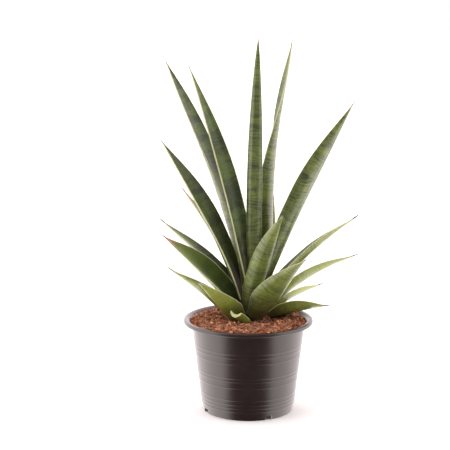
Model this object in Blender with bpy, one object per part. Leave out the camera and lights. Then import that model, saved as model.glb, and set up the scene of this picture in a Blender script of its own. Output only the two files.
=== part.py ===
"""A snake plant with narrow pointed leaves, growing in a round plastic nursery pot.

The origin is where the pot's axis meets the surface it stands on, +Z is up and -Y is the
front. Lengths in the constants are metres unless the name ends in _MM.
"""

import math
from collections import namedtuple

import bpy
import numpy as np

# Pot: height, rim, how much narrower the wall gets per metre down, and one wall thickness.
POT_HEIGHT = 0.0858
RIM_RADIUS = 0.0600
WALL_DRAFT = 0.12125
WALL = 0.0012
POT_SEGMENTS = 56

# Rim: a collar that flares out of the wall and turns down again at its edge. The knees of its
# flare are shares of the overhang, from the wall outward.
RIM_OVERHANG = 0.0077
COLLAR_HEIGHT = 0.0058
LIP_DEPTH = 0.0034
RIM_ROUND = 0.0012
OUTER_KNEES = (0.15, 0.45)
INNER_KNEES = (0.32, 0.55)

# Base: a flat centre disc, then a raised channel with the drain holes, then the foot ring.
CHANNEL_WIDTH = 0.0186
CHANNEL_RISE = 0.0042
CHANNEL_SLOPE = 0.0015
DRAIN_HOLES = 8
DRAIN_HOLE_RADIUS = 0.0030
DRAIN_HOLE_SIDES = 16
DRAIN_TURN = math.radians(12)
FOOT_NOTCHES = 4
FOOT_NOTCH_WIDTH = 0.0070
FOOT_NOTCH_HEIGHT = 0.0038
FOOT_NOTCH_TURN = math.radians(25)

# Fine raised rings around the wall, as fractions of the pot's height.
RING_HEIGHTS = (0.095, 0.135, 0.175, 0.225, 0.365, 0.435, 0.475, 0.635, 0.700, 0.745)
RING_RELIEF = 0.00025
RING_HALF_WIDTH = 0.0006

# Coir: a plug that fills the pot, with a low mound and a shallow dish around the crown. The
# mound climbs from the dish over RISE_SHARE of its radius, and falls to the wall between the
# two FALL_SHARES of the wall's radius.
FIT_GAP = 0.0003
COIR_BELOW_RIM = 0.0024
DISH_DEPTH = 0.0006
MOUND_HEIGHT = 0.0016
DISH_RADIUS = 0.0270
RISE_SHARE = 0.2
FALL_SHARES = (0.80, 0.98)
COIR_LUMPS = 0.00035
COIR_SEGMENTS = 56
COIR_RINGS = 9
COIR_SEED = 11

# Crown: where the leaves come together, a little behind and to the right of the pot's axis.
# PLANT_SIZE scales the whole plant. LEAF_GIRTH scales the leaf sections and how far apart the
# leaves stand, and leaves their lengths alone.
PLANT_SIZE = 1.0
LEAF_GIRTH = 1.0
CROWN_X = 0.0035
CROWN_Y = 0.0060
STEM_OFFSET_MM = (-0.5, 1.5)
STEM_BASE_RADIUS_MM = 9.0
STEM_TOP_RADIUS_MM = 3.0
STEM_HEIGHT_MM = 24.0
STEM_SEGMENTS = 20
STEM_RINGS = 6

# Leaf section: a crescent that is thickest along the middle and has a blunt margin.
MARGIN_MM = 0.7
THICK_AT = (0.0, 0.15, 0.5, 1.0)
THICK_MM = (1.8, 2.8, 2.2, 0.3)
STUB_THICK_MM = (1.8, 2.1, 2.2, 2.2)
HOLLOW_AT = (0.0, 0.3, 0.7, 1.0)
HOLLOW_DEG = (58.0, 58.0, 50.0, 35.0)
STUB_HOLLOW_DEG = (75.0, 75.0, 75.0, 75.0)
NECK_LENGTH = 0.25
AWN_MM = 4.0
AWN_WIDTH_MM = 1.0
ACROSS = 6
FEWEST_STATIONS = 8
STATION_SPACING_MM = 24.0

# One row per leaf. base: mm from the crown's centre at dish level; heading: compass angle the
# leaf leans toward, in degrees from +X toward +Y; lean: degrees from upright at the base and at
# the tip; turn: degrees the outer face is turned from the heading, at the base and at the tip;
# neck: width at the base as a share of the full width; taper: share of the length over which
# the width grows from the tip; blunt: below 1 for a fuller tip; cut: mm of leaf cut away.
Leaf = namedtuple(
    "Leaf", "name base heading lean length width turn neck taper blunt cut"
)
Leaf.__new__.__defaults__ = ((0, 0), 0.70, 0.55, 1.10, 0.0)

LEAVES = (
    Leaf("leaf_tall_left_outer", (-8, 12.5, 23), 163, (12, 27), 229, 25, (25, -35), 0.50, 0.55, 0.95),
    Leaf("leaf_tall_left_inner", (-3.5, 1, 27), 172, (8, 22), 217, 19, (-38, -45), 0.50),
    Leaf("leaf_tall_centre", (1, -5, 31), 340, (0, 2), 230, 13.6, (-75, -75), 0.60, 0.60, 0.75),
    Leaf("leaf_tall_right_inner", (8.9, 7.35, 24.2), 35, (5.4, 11.6), 236, 25.5, (-118, 6), 0.48, 0.48),
    Leaf("leaf_tall_right_outer", (8, -3, 19.5), 355, (19, 30), 203, 24, (-36, -50), 0.55, 0.46),
    Leaf("leaf_mid_left", (-12.0, -6.4, 20.6), 172, (17, 36), 166, 22.5, (-10, -40), 0.50),
    Leaf("leaf_mid_right", (11.9, -0.4, 15.1), 8, (38.3, 57), 120, 25, (-6, -16), 0.55, 0.45),
    Leaf("leaf_front_upright", (-5, -13.3, 8), 308, (14, 41), 116, 17, (-45, -45), 0.66),
    Leaf("leaf_front_right", (3.2, -16.7, 4), 308, (36, 56), 98, 26.5, (-28, -28), 0.66, 0.80),
    Leaf("leaf_front_left", (-15.5, -11.5, 0.5), 220, (40, 52), 66, 27, (20, 20), 0.75, 0.90),
    Leaf("leaf_low_left_upper", (-10, 13, 18), 160, (46, 54), 108, 20, (0, 0), 0.55),
    Leaf("leaf_low_left", (-14, -2.5, 8), 180, (36, 52), 101, 27, (-20, -32), 0.66),
    Leaf("leaf_bottom_left", (-22.5, 6, 1.4), 182, (45, 56), 73, 26, (30, 30), 0.70, 0.80),
    Leaf("leaf_low_right", (13.5, 2.5, 5), 5, (43, 73), 103, 29, (-12, -22)),
    Leaf("leaf_bottom_right_rear", (14.5, 14.3, 0.3), 30, (62, 79), 68, 24, (-18, -30), 0.65),
    Leaf("leaf_bottom_right", (18.5, -1.5, 0.5), 345, (66, 82), 58, 26, (-20, -32), 0.70),
    Leaf("leaf_back_left", (-7, 24, 22.5), 145, (32, 46), 118, 14, (0, 0), 0.60),
    Leaf("leaf_back_right", (12.5, 20.5, 14), 60, (13, 8), 100, 15, (0, 0), 0.60),
    Leaf("leaf_rear_low_right", (0.5, 20, 0.3), 95, (52, 64), 62, 18, (0, 0), 0.70),
    Leaf("leaf_rear_low_left", (-13.5, 17, 0.3), 130, (48, 60), 56, 18, (0, 0), 0.70),
    Leaf("leaf_stub", (-8, -22, 0.2), 228, (50, 58), 16, 13, (0, 0), 0.90, 0.20, 1.10, 60.0),
)

POT_COLOUR = (0.030, 0.024, 0.024, 1.0)
COIR_COLOUR = (0.260, 0.095, 0.038, 1.0)
LEAF_COLOUR = (0.085, 0.140, 0.040, 1.0)
STEM_COLOUR = (0.330, 0.350, 0.180, 1.0)


def clear_scene():
    for obj in list(bpy.data.objects):
        bpy.data.objects.remove(obj, do_unlink=True)


def smooth(x):
    """A soft step from 0 at 0 to 1 at 1."""
    x = np.clip(x, 0, 1)
    return x * x * (3 - 2 * x)


def principled(name, colour, roughness):
    material = bpy.data.materials.new(name)
    material.use_nodes = True
    shader = material.node_tree.nodes["Principled BSDF"]
    shader.inputs["Base Color"].default_value = colour
    shader.inputs["Roughness"].default_value = roughness
    material.diffuse_color = colour
    return material


def add_mesh(name, points, faces, material):
    mesh = bpy.data.meshes.new(name)
    mesh.from_pydata([tuple(p) for p in points], [], [tuple(int(i) for i in f) for f in faces])
    mesh.validate()
    mesh.update()
    mesh.materials.append(material)
    obj = bpy.data.objects.new(name, mesh)
    bpy.context.collection.objects.link(obj)
    return obj


def revolve(profile, segments):
    """Turns a profile of (radius, height) that starts and ends on the axis into a closed shell."""
    inner = profile[1:-1]
    angles = np.arange(segments) * 2 * math.pi / segments
    rings = [
        np.stack([r * np.cos(angles), r * np.sin(angles), np.full(segments, z)], axis=1)
        for r, z in inner
    ]
    points = np.concatenate(rings + [[[0, 0, profile[0][1]]], [[0, 0, profile[-1][1]]]])
    first_pole = len(inner) * segments
    faces = []
    for i in range(segments):
        j = (i + 1) % segments
        faces.append((first_pole, j, i))
        for k in range(len(inner) - 1):
            a = k * segments
            b = a + segments
            faces.append((a + i, a + j, b + j, b + i))
        last = (len(inner) - 1) * segments
        faces.append((last + i, last + j, first_pole + 1))
    return points, faces


def cut(target, cutter, name):
    cutter.hide_render = True
    cutter.display_type = "WIRE"
    modifier = target.modifiers.new(name, "BOOLEAN")
    modifier.operation = "DIFFERENCE"
    modifier.solver = "EXACT"
    modifier.object = cutter


def wall_top_radius():
    return RIM_RADIUS - RIM_OVERHANG


def wall_radius(z):
    """Outer radius of the plain tapered wall at a height."""
    return wall_top_radius() - WALL_DRAFT * (POT_HEIGHT - COLLAR_HEIGHT - z)


def disc_radius():
    """Radius of the flat disc in the middle of the base."""
    return wall_radius(0) - CHANNEL_WIDTH


def ring_points():
    points = []
    for share in RING_HEIGHTS:
        z = share * POT_HEIGHT
        points.append((wall_radius(z - RING_HALF_WIDTH), z - RING_HALF_WIDTH))
        points.append((wall_radius(z) + RING_RELIEF, z))
        points.append((wall_radius(z + RING_HALF_WIDTH), z + RING_HALF_WIDTH))
    return points


def collar_outer():
    """The flare under the rim, the turned-down lip and its round top, from the wall outward."""
    top = POT_HEIGHT
    wall_top = wall_top_radius()
    lip_bottom = top - LIP_DEPTH
    return [
        (wall_top, top - COLLAR_HEIGHT),
        (wall_top + OUTER_KNEES[0] * RIM_OVERHANG, lip_bottom + 0.1 * LIP_DEPTH),
        (wall_top + OUTER_KNEES[1] * RIM_OVERHANG, top - 1.3 * WALL),
        (RIM_RADIUS - 1.9 * WALL, top - 1.1 * WALL),
        (RIM_RADIUS - 1.1 * WALL, lip_bottom),
        (RIM_RADIUS - 0.1 * WALL, lip_bottom),
        (RIM_RADIUS, lip_bottom + 0.3 * LIP_DEPTH),
        (RIM_RADIUS - 0.3 * RIM_ROUND, top - 0.5 * RIM_ROUND),
        (RIM_RADIUS - 1.3 * RIM_ROUND, top),
    ]


def collar_inner(gap=0.0):
    """The inside of the collar from the rim's top down to the wall, set in by a gap."""
    top = POT_HEIGHT
    wall_top = wall_top_radius()
    return [
        (wall_top + INNER_KNEES[1] * RIM_OVERHANG - gap, top - 0.1 * RIM_ROUND),
        (wall_top + INNER_KNEES[0] * RIM_OVERHANG - gap, top - 0.9 * RIM_ROUND),
        (wall_top - 0.6 * WALL - gap, top - 0.85 * COLLAR_HEIGHT),
        (wall_top - WALL - gap, top - COLLAR_HEIGHT - WALL),
    ]


def floor_outer():
    """Underside of the base, from the axis outward to the foot."""
    disc = disc_radius()
    foot = wall_radius(0)
    return [
        (0.0, 0.0),
        (disc, 0.0),
        (disc + CHANNEL_SLOPE, CHANNEL_RISE),
        (foot - 1.1 * WALL, CHANNEL_RISE),
        (foot - WALL, 0.0),
        (foot - 0.2 * WALL, 0.0),
        (foot, 0.3 * WALL),
    ]


def floor_inner(gap=0.0):
    """Upper side of the base, from the wall inward to the axis, raised by a gap."""
    level = CHANNEL_RISE + WALL
    disc = disc_radius()
    return [
        (wall_radius(level) - WALL - gap, level + gap),
        (disc + CHANNEL_SLOPE - 0.4 * WALL - gap, level + gap),
        (disc - 0.4 * WALL - gap, WALL + gap),
        (0.0, WALL + gap),
    ]


def build_pot(material):
    profile = floor_outer() + ring_points() + collar_outer() + collar_inner() + floor_inner()
    points, faces = revolve(profile, POT_SEGMENTS)
    pot = add_mesh("nursery_pot", points, faces, material)
    cut(pot, drain_cutters(material), "drain_holes")
    cut(pot, notch_cutters(material), "foot_notches")
    return pot


def drain_cutters(material):
    """A round cutter for each drain hole, on a circle along the middle of the channel."""
    low = CHANNEL_RISE - WALL
    high = CHANNEL_RISE + 2 * WALL
    circle = (disc_radius() + CHANNEL_SLOPE + wall_radius(0) - WALL) / 2
    sides = DRAIN_HOLE_SIDES
    angles = np.arange(sides) * 2 * math.pi / sides
    points = []
    faces = []
    for hole in range(DRAIN_HOLES):
        turn = DRAIN_TURN + 2 * math.pi * hole / DRAIN_HOLES
        cx = circle * math.cos(turn)
        cy = circle * math.sin(turn)
        start = len(points)
        for z in (low, high):
            points += [
                (cx + DRAIN_HOLE_RADIUS * math.cos(a), cy + DRAIN_HOLE_RADIUS * math.sin(a), z)
                for a in angles
            ]
        faces.append([start + i for i in reversed(range(sides))])
        faces.append([start + sides + i for i in range(sides)])
        for i in range(sides):
            j = (i + 1) % sides
            faces.append((start + i, start + j, start + sides + j, start + sides + i))
    return add_mesh("drain_cutter", points, faces, material)


def notch_cutters(material):
    """A box across the foot ring for each notch."""
    half = FOOT_NOTCH_WIDTH / 2
    near = wall_radius(0) - 2.5 * WALL
    far = wall_radius(0) + 2 * WALL
    corners = [(near, -half), (far, -half), (far, half), (near, half)]
    points = []
    faces = []
    for notch in range(FOOT_NOTCHES):
        turn = FOOT_NOTCH_TURN + 2 * math.pi * notch / FOOT_NOTCHES
        c = math.cos(turn)
        s = math.sin(turn)
        start = len(points)
        for z in (-WALL, FOOT_NOTCH_HEIGHT):
            points += [(x * c - y * s, x * s + y * c, z) for x, y in corners]
        faces += [
            (start + 3, start + 2, start + 1, start),
            (start + 4, start + 5, start + 6, start + 7),
        ]
        for i in range(4):
            j = (i + 1) % 4
            faces.append((start + i, start + j, start + 4 + j, start + 4 + i))
    return add_mesh("notch_cutter", points, faces, material)


def coir_level():
    return POT_HEIGHT - COIR_BELOW_RIM


def dish_level():
    return coir_level() - DISH_DEPTH


def coir_top(x, y, rng):
    """Height of the coir: flat at the wall, a low mound, then a dish around the crown."""
    away = np.hypot(x - CROWN_X, y - CROWN_Y)
    dish = DISH_RADIUS * PLANT_SIZE * LEAF_GIRTH
    rise = smooth((away - dish) / (RISE_SHARE * dish))
    start, end = (share * wall_top_radius() for share in FALL_SHARES)
    fall = np.clip((np.hypot(x, y) - start) / (end - start), 0, 1)
    lumps = COIR_LUMPS * rng.uniform(-1, 1, x.shape) * rise * (1 - fall)
    mound = MOUND_HEIGHT * rise * (1 - fall)
    return dish_level() + (DISH_DEPTH + mound) * rise + lumps


def build_coir(material):
    rng = np.random.default_rng(COIR_SEED)
    level = coir_level()
    collar = [p for p in reversed(collar_inner(FIT_GAP)) if p[1] < level]
    low = floor_inner(FIT_GAP)
    side = [low[3], low[2], low[1], low[0]] + collar
    upper = collar_inner(FIT_GAP)
    below = collar[-1]
    above = upper[len(upper) - len(collar) - 1]
    share = (level - below[1]) / (above[1] - below[1])
    edge = below[0] + share * (above[0] - below[0])
    radii = [edge * (1 - k / COIR_RINGS) for k in range(COIR_RINGS)]
    profile = side + [(r, level) for r in radii] + [(0.0, level)]
    points, faces = revolve(profile, COIR_SEGMENTS)
    first = (len(side) - 1) * COIR_SEGMENTS
    top = points[first:-2]
    top[COIR_SEGMENTS:, 2] = coir_top(top[COIR_SEGMENTS:, 0], top[COIR_SEGMENTS:, 1], rng)
    points[-1, 2] = dish_level()
    return add_mesh("coir_substrate", points, faces, material)


def build_stem(material):
    """The short stem inside the rosette, a tapered plug that all the leaf bases stand around."""
    size = 0.001 * PLANT_SIZE * LEAF_GIRTH
    floor = dish_level() + FIT_GAP
    profile = [(0.0, floor)]
    for k in range(STEM_RINGS + 1):
        share = k / STEM_RINGS
        radius = STEM_BASE_RADIUS_MM + (STEM_TOP_RADIUS_MM - STEM_BASE_RADIUS_MM) * share
        profile.append((radius * size, floor + share * STEM_HEIGHT_MM * size))
    profile.append((0.0, floor + STEM_HEIGHT_MM * size))
    points, faces = revolve(profile, STEM_SEGMENTS)
    points[:, 0] += CROWN_X + STEM_OFFSET_MM[0] * size
    points[:, 1] += CROWN_Y + STEM_OFFSET_MM[1] * size
    return add_mesh("crown_stem", points, faces, material)


def leaf_frame(leaf, s):
    """Centre line of a leaf and the directions along it, in and across, at each station."""
    lean = np.radians(leaf.lean[0] + (leaf.lean[1] - leaf.lean[0]) * s)
    heading = math.radians(leaf.heading)
    out_x = math.cos(heading)
    out_y = math.sin(heading)
    along = np.stack([np.sin(lean) * out_x, np.sin(lean) * out_y, np.cos(lean)], axis=1)
    steps = np.diff(s)[:, None] * leaf.length * (along[1:] + along[:-1]) / 2
    start = LEAF_GIRTH * np.array([leaf.base])
    centre = np.concatenate([start, start + np.cumsum(steps, axis=0)])
    inward = np.stack([-np.cos(lean) * out_x, -np.cos(lean) * out_y, np.sin(lean)], axis=1)
    across = np.cross(along, inward)
    turn = np.radians(leaf.turn[0] + (leaf.turn[1] - leaf.turn[0]) * s)[:, None]
    inward = inward * np.cos(turn) + across * np.sin(turn)
    return centre, along, inward, np.cross(along, inward)


def leaf_width(leaf, s):
    """Width: a sine taper from the awn over the taper length, and a neck at the base."""
    from_tip = (1 - s) * leaf.length + leaf.cut - AWN_MM
    grown = np.clip(from_tip / (leaf.taper * leaf.length), 0, 1)
    width = leaf.width * np.sin(math.pi / 2 * grown) ** leaf.blunt + AWN_WIDTH_MM
    return width * (leaf.neck + (1 - leaf.neck) * smooth(s / NECK_LENGTH))


def leaf_rings(leaf, s, count):
    """Outer and inner faces of the crescent section at each station, count points across."""
    centre, _, inward, across = leaf_frame(leaf, s)
    hollow = np.radians(np.interp(s, HOLLOW_AT, STUB_HOLLOW_DEG if leaf.cut else HOLLOW_DEG))
    radius = LEAF_GIRTH * leaf_width(leaf, s) / 2 / np.sin(hollow)
    u = np.linspace(-1, 1, count)
    angle = hollow[:, None] * u
    side = (radius[:, None] * np.sin(angle))[..., None]
    lift = (radius[:, None] * (1 - np.cos(angle)))[..., None]
    outer = centre[:, None] + side * across[:, None] + lift * inward[:, None]
    normal = np.cos(angle)[..., None] * inward[:, None] - np.sin(angle)[..., None] * across[:, None]
    middle = np.interp(s, THICK_AT, STUB_THICK_MM if leaf.cut else THICK_MM)
    thick = middle[:, None] * np.sqrt(np.clip(1 - u * u, 0, 1)) + MARGIN_MM
    return outer, outer + LEAF_GIRTH * thick[..., None] * normal


def build_leaf(leaf, material):
    stations = FEWEST_STATIONS + round(leaf.length / STATION_SPACING_MM)
    s = np.linspace(0, 1, stations)
    outer, inner = leaf_rings(leaf, s, ACROSS)
    ring = np.concatenate([outer, inner[:, ::-1]], axis=1)
    around = 2 * ACROSS
    points = ring.reshape(-1, 3) * 0.001 * PLANT_SIZE
    points += (CROWN_X, CROWN_Y, dish_level() + FIT_GAP)
    faces = []
    for i in range(stations - 1):
        for j in range(around):
            a = i * around + j
            b = i * around + (j + 1) % around
            faces.append((a, a + around, b + around, b))
    last = (stations - 1) * around
    for j in range(ACROSS - 1):
        k = around - 1 - j
        faces.append((j, j + 1, k - 1, k))
        faces.append((last + k, last + k - 1, last + j + 1, last + j))
    return add_mesh(leaf.name, points, faces, material)


def main():
    clear_scene()
    build_pot(principled("black_plastic", POT_COLOUR, 0.35))
    build_coir(principled("coir", COIR_COLOUR, 0.95))
    build_stem(principled("pale_stem", STEM_COLOUR, 0.5))
    green = principled("leaf_green", LEAF_COLOUR, 0.42)
    for leaf in LEAVES:
        build_leaf(leaf, green)


main()
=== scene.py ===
"""Looks of a narrow-leaved snake plant growing in a round nursery pot.

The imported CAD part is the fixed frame. The pot, the coir, the stem and every leaf are made here as
fine surfaces that stand for their CAD nodes. Sizes in the classes are millimetres in the part's own
frame: the origin is under the middle of the pot, +Z is up and -Y is the front.
"""

import logging  # noqa: E402
import math  # noqa: E402
from dataclasses import dataclass, field  # noqa: E402
from enum import Enum  # noqa: E402

import bpy  # noqa: E402
import numpy as np  # noqa: E402
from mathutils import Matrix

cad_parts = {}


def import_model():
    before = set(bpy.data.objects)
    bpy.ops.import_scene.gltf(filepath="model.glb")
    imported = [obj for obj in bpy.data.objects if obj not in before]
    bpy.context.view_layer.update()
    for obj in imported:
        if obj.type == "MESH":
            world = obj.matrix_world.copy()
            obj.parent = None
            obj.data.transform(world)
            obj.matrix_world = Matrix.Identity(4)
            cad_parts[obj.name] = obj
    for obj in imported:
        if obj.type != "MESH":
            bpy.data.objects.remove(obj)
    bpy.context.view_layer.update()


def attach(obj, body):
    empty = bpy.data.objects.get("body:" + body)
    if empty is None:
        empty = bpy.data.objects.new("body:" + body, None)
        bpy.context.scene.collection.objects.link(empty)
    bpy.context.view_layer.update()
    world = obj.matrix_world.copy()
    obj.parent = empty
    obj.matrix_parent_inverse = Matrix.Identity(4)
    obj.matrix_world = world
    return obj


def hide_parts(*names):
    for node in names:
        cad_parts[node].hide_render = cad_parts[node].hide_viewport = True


LOG = logging.getLogger("snake_plant")
MM = 0.001
# Crests of many summed sines reach about this many times their root mean square.
RIPPLE_PEAK = 1.6


# ---------------------------------------------------------------- small helpers


def linear(hex_colour: str) -> tuple[float, float, float, float]:
    """Turns an sRGB hex colour into linear red, green, blue and an alpha of 1.

    Each channel c is c / 12.92 below 0.04045 and ((c + 0.055) / 1.055) to the 2.4 above it.

    Args:
        hex_colour: six hex digits with or without a leading hash.

    Returns:
        Four floats for a colour socket.
    """
    digits = hex_colour.lstrip("#")
    channels = np.array([int(digits[i : i + 2], 16) / 255 for i in (0, 2, 4)])
    low = channels / 12.92
    high = ((channels + 0.055) / 1.055) ** 2.4
    return (*np.where(channels <= 0.04045, low, high).tolist(), 1.0)


def smooth(x: np.ndarray) -> np.ndarray:
    """A soft step: 0 below 0, 1 above 1, and 3x squared less 2x cubed between them."""
    x = np.clip(x, 0, 1)
    return x * x * (3 - 2 * x)


def ripples(
    x: np.ndarray, y: np.ndarray, rng: np.random.Generator, waves: int, longest: float
) -> np.ndarray:
    """Smooth random relief: plane sine waves of random heading, length and phase.

    The height is the sum of the waves x sqrt(2 / waves) / peak.

    Args:
        x: first coordinate in mm.
        y: second coordinate in mm.
        rng: seeded source of the headings, lengths and phases.
        waves: how many sine waves are added.
        longest: longest wavelength in mm; the shortest is a third of it.

    Returns:
        Heights that stay roughly within -1 and 1.
    """
    turn = rng.uniform(0, 2 * math.pi, waves)
    number = 2 * math.pi / rng.uniform(longest / 3, longest, waves)
    phase = rng.uniform(0, 2 * math.pi, waves)
    total = np.zeros_like(x)
    for kx, ky, p in zip(number * np.cos(turn), number * np.sin(turn), phase):
        total += np.sin(kx * x + ky * y + p)
    return total * math.sqrt(2 / waves) / RIPPLE_PEAK


def grid_quads(rows: int, columns: int) -> np.ndarray:
    """Faces of a grid whose columns close on themselves, numbered row by row.

    Args:
        rows: rings of points.
        columns: points in each ring.

    Returns:
        One line of four corners for each face, wound outward for rings that run upward.
    """
    i, j = np.meshgrid(np.arange(rows - 1), np.arange(columns), indexing="ij")
    a = i * columns + j
    b = i * columns + (j + 1) % columns
    return np.stack([a, b, b + columns, a + columns], axis=-1).reshape(-1, 4)


def capped_tube(rings: int, columns: int) -> list[np.ndarray]:
    """Faces of a tube of rings with a fan of triangles at each end.

    The points are the rings in order, then the middle of the first end and that of the last.

    Args:
        rings: how many rings.
        columns: points in each ring.

    Returns:
        The wall's quads, the first end's triangles and the last end's.
    """
    i = np.arange(columns)
    j = (i + 1) % columns
    last, middle = (rings - 1) * columns, rings * columns
    low = np.stack([np.full(columns, middle), j, i], axis=1)
    high = np.stack([last + i, last + j, np.full(columns, middle + 1)], axis=1)
    return [grid_quads(rings, columns), low, high]


def spin(a: np.ndarray, b: np.ndarray, angle: np.ndarray) -> tuple[np.ndarray, np.ndarray]:
    """Turns the plane of coordinates a and b by an angle in radians."""
    return a * np.cos(angle) - b * np.sin(angle), a * np.sin(angle) + b * np.cos(angle)


def make_piece(
    name: str,
    points: np.ndarray,
    faces: list[np.ndarray],
    facts: dict[str, np.ndarray] | None = None,
    sharp_deg: float = 65.0,
) -> bpy.types.Object:
    """Puts arrays into a smooth mesh object at the origin.

    Args:
        name: the object's and the mesh's name.
        points: corners in mm.
        faces: arrays of faces; all the faces in one array have the same number of corners.
        facts: float attributes for the points, by name.
        sharp_deg: edges that turn by more than this stay sharp.

    Returns:
        The linked object.
    """
    mesh = bpy.data.meshes.new(name)
    corners = np.concatenate([f.ravel() for f in faces]).astype(np.int32)
    sizes = np.concatenate([np.full(len(f), f.shape[1]) for f in faces])
    mesh.vertices.add(len(points))
    mesh.vertices.foreach_set("co", (np.asarray(points) * MM).astype(np.float32).ravel())
    mesh.loops.add(len(corners))
    mesh.loops.foreach_set("vertex_index", corners)
    mesh.polygons.add(len(sizes))
    starts = np.concatenate([[0], np.cumsum(sizes)[:-1]]).astype(np.int32)
    mesh.polygons.foreach_set("loop_start", starts)
    mesh.update(calc_edges=True)
    mesh.validate()
    for fact, values in (facts or {}).items():
        attribute = mesh.attributes.new(fact, "FLOAT", "POINT")
        attribute.data.foreach_set("value", np.asarray(values, np.float32).ravel())
    mesh.shade_smooth()
    mesh.set_sharp_from_angle(angle=math.radians(sharp_deg))
    piece = bpy.data.objects.new(name, mesh)
    bpy.context.scene.collection.objects.link(piece)
    return piece


def add_node(
    tree: bpy.types.NodeTree, kind: str, inputs: dict | None = None, **settings: object
) -> bpy.types.Node:
    """Adds one node with its settings, and fills or links its inputs.

    Args:
        tree: the node tree.
        kind: the node's type without its ShaderNode prefix.
        inputs: socket name or number to a value, or to the output socket that feeds it.
        settings: the node's own properties.

    Returns:
        The new node.
    """
    node = tree.nodes.new("ShaderNode" + kind)
    for key, value in settings.items():
        setattr(node, key, value)
    for key, value in (inputs or {}).items():
        if isinstance(value, bpy.types.NodeSocket):
            tree.links.new(value, node.inputs[key])
        else:
            node.inputs[key].default_value = value
    return node


class Painter:
    """Writes one material's node tree: sums, mixes and patterns in millimetres."""

    def __init__(self, name: str) -> None:
        """Starts an empty material.

        Args:
            name: the material's name.
        """
        self.material = bpy.data.materials.new(name)
        self.material.use_nodes = True
        self.tree = self.material.node_tree
        self.tree.nodes.clear()

    def fact(self, name: str) -> bpy.types.NodeSocket:
        """A float attribute of the mesh."""
        return add_node(self.tree, "Attribute", attribute_name=name).outputs["Fac"]

    def place(self) -> bpy.types.NodeSocket:
        """Object coordinates in millimetres.

        Returns:
            The vector socket.
        """
        seen = add_node(self.tree, "TexCoord").outputs["Object"]
        inputs = {0: seen, "Scale": 1 / MM}
        return add_node(self.tree, "VectorMath", inputs, operation="SCALE").outputs[0]

    def math(
        self, operation: str, a: object, b: object = 0.0, c: object = 0.0
    ) -> bpy.types.NodeSocket:
        """One Math node; a, b and c are numbers or sockets."""
        inputs = {0: a, 1: b, 2: c}
        return add_node(self.tree, "Math", inputs, operation=operation).outputs[0]

    def stretch(
        self, value: object, low: float, high: float, to_low: float = 0.0, to_high: float = 1.0
    ) -> bpy.types.NodeSocket:
        """Moves low..high softly to to_low..to_high and holds it there outside.

        Args:
            value: the number or socket that is moved.
            low: value that becomes to_low.
            high: value that becomes to_high; below low, the slope is turned round.
            to_low: result at low.
            to_high: result at high.

        Returns:
            The result's socket.
        """
        inputs = {0: value, 1: low, 2: high, 3: to_low, 4: to_high}
        node = add_node(self.tree, "MapRange", inputs, interpolation_type="SMOOTHSTEP")
        return node.outputs[0]

    def join(self, x: object, y: object, z: object = 0.0) -> bpy.types.NodeSocket:
        """One vector from three numbers or sockets."""
        return add_node(self.tree, "CombineXYZ", {0: x, 1: y, 2: z}).outputs[0]

    def noise(
        self, vector: object, per_mm: float, detail: float = 2.0, rough: float = 0.5
    ) -> bpy.types.NodeSocket:
        """Noise whose lumps are about 1 / per_mm millimetres across."""
        inputs = {"Vector": vector, "Scale": per_mm, "Detail": detail, "Roughness": rough}
        return add_node(self.tree, "TexNoise", inputs).outputs["Fac"]

    def mix(
        self, share: object, a: object, b: object, blend: str = "MIX"
    ) -> bpy.types.NodeSocket:
        """Mixes two colours, given as hex text or as sockets.

        Args:
            share: how much of b there is, from 0 to 1.
            a: the first colour.
            b: the second colour.
            blend: the Mix node's way of blending.

        Returns:
            The mixed colour's socket.
        """
        a, b = (linear(x) if isinstance(x, str) else x for x in (a, b))
        inputs = {0: share, 6: a, 7: b}
        node = add_node(self.tree, "Mix", inputs, data_type="RGBA", blend_type=blend)
        return node.outputs[2]

    def bump(
        self, height: object, depth_mm: float, strength: float = 1.0
    ) -> bpy.types.NodeSocket:
        """A bump whose height of 1 stands depth_mm proud."""
        inputs = {"Height": height, "Distance": depth_mm * MM, "Strength": strength}
        return add_node(self.tree, "Bump", inputs).outputs[0]

    def finish(self, **sockets: object) -> bpy.types.Material:
        """Adds the Principled shader and the output.

        Args:
            sockets: values or sockets by input name, with underscores for spaces.

        Returns:
            The finished material.
        """
        inputs = {key.replace("_", " "): value for key, value in sockets.items()}
        shader = add_node(self.tree, "BsdfPrincipled", inputs)
        add_node(self.tree, "OutputMaterial", {"Surface": shader.outputs[0]})
        return self.material


# ---------------------------------------------------------------- finishes


@dataclass(frozen=True)
class MouldedPolypropylene:
    """Injection-moulded recycled polypropylene, black with a brown cast and a satin skin."""

    body: str = "#231614"
    worn: str = "#312422"
    roughness: float = 0.30
    ior: float = 1.49
    turning_mm: float = 0.9
    turning_depth_mm: float = 0.02
    cloud_mm: float = 14.0
    scuff_mm: float = 2.2

    def material(self) -> bpy.types.Material:
        """The fine turned lines of the mould, faint clouding and a few dull scuffs.

        Returns:
            The pot's material.
        """
        paint = Painter("moulded_polypropylene")
        place = paint.place()
        height = add_node(paint.tree, "SeparateXYZ", {0: place}).outputs[2]
        # The mould was turned, so it left rings round the pot.
        turned = paint.noise(paint.join(0.0, 0.0, height), 1 / self.turning_mm, 2.0, 0.6)
        cloud = paint.noise(place, 1 / self.cloud_mm, 3.0)
        scuff = paint.stretch(paint.noise(place, 1 / self.scuff_mm, 4.0, 0.7), 0.60, 0.72)
        tone = paint.mix(paint.math("MULTIPLY", cloud, 0.5), self.body, self.worn)
        tone = paint.mix(paint.math("MULTIPLY", scuff, 0.25), tone, self.worn)
        rough = paint.math("MULTIPLY_ADD", cloud, 0.10, self.roughness - 0.05)
        rough = paint.math("MULTIPLY_ADD", scuff, 0.08, rough)
        relief = paint.bump(turned, self.turning_depth_mm)
        return paint.finish(Base_Color=tone, Roughness=rough, IOR=self.ior, Normal=relief)


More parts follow.
